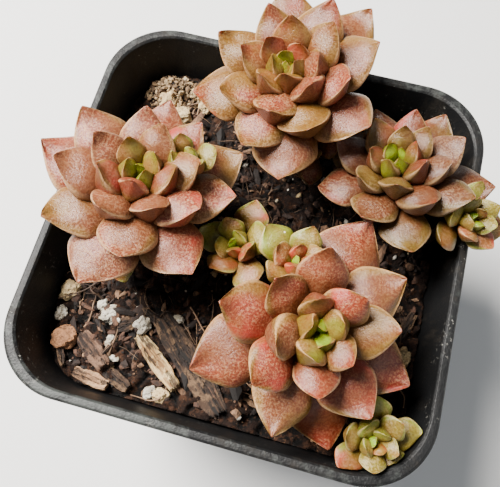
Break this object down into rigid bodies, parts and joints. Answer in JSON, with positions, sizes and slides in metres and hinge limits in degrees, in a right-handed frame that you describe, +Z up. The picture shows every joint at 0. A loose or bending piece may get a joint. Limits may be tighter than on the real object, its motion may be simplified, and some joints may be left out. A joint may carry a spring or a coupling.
{
  "type": "potted succulent",
  "caption": "Small square tapered nursery pot filled with a bark and perlite mix, planted with a clump of fleshy-leaved rosettes and their young offsets.",
  "frame": {"origin": "centre of the pot's foot, on the surface it stands on", "axes": "+Z up out of the pot's mouth, +X and +Y square to the pot's sides; the open patch of soil is at -X, -Y"},
  "size_m": [0.0982, 0.0938, 0.1007],
  "materials": {
    "pot_plastic": "black polypropylene, satin, scuffed grey along the lip",
    "soil_mix": "moist dark bark and peat mix",
    "dark_bark": "weathered fibrous bark",
    "pale_bark": "pale split bark",
    "rust_stone": "porous rust-brown lava stone",
    "tan_stone": "porous tan stone",
    "perlite": "porous off-white perlite",
    "stem_skin": "brown-green scarred stem",
    "heart_skin": "waxy, dusty, salmon and olive",
    "leaf_skin": "waxy, dusty, salmon pink-brown with pale margins",
    "pup_skin": "waxy, dusty, yellow-green blushed pink"
  },
  "bodies": {
    "root": {"pot": "pot_plastic", "soil": "soil_mix", "bark_pale": "pale_bark", "bark_long": "dark_bark", "bark_chip": "dark_bark", "bark_tan": "dark_bark", "stone_rust": "rust_stone", "stone_yellow": "tan_stone", "perlite_grey": "perlite", "perlite_cluster": "perlite", "perlite_white": "perlite", "perlite_front": "perlite", "stone_tan": "tan_stone", "right_pup": "pup_skin", "low_right_pup": "pup_skin", "top_front_pup": "pup_skin", "left_front_pup": "pup_skin", "yellow_pup": "pup_skin", "under_back_pup": "pup_skin", "under_left_pup": "pup_skin", "back_stem": "stem_skin", "back_heart": "heart_skin", "left_stem": "stem_skin", "left_heart": "heart_skin", "right_stem": "stem_skin", "right_heart": "heart_skin", "front_stem": "stem_skin", "front_heart": "heart_skin", "back_leaf_22": "leaf_skin", "left_leaf_20": "leaf_skin", "right_leaf_19": "leaf_skin", "front_leaf_18": "leaf_skin", "back_leaf_23": "leaf_skin", "left_leaf_21": "leaf_skin", "right_leaf_20": "leaf_skin", "front_leaf_19": "leaf_skin", "back_leaf_24": "leaf_skin", "left_leaf_22": "leaf_skin", "right_leaf_21": "leaf_skin", "back_leaf_25": "leaf_skin", "left_leaf_23": "leaf_skin", "right_leaf_22": "leaf_skin", "front_leaf_21": "leaf_skin", "back_leaf_26": "leaf_skin", "left_leaf_24": "leaf_skin", "right_leaf_23": "leaf_skin", "front_leaf_22": "leaf_skin", "back_leaf_27": "leaf_skin", "left_leaf_25": "leaf_skin", "right_leaf_24": "leaf_skin", "front_leaf_23": "leaf_skin", "back_leaf_28": "leaf_skin", "left_leaf_26": "leaf_skin", "right_leaf_25": "leaf_skin", "front_leaf_24": "leaf_skin", "back_leaf_29": "leaf_skin", "left_leaf_27": "leaf_skin", "right_leaf_26": "leaf_skin"}
  },
  "joints": []
}
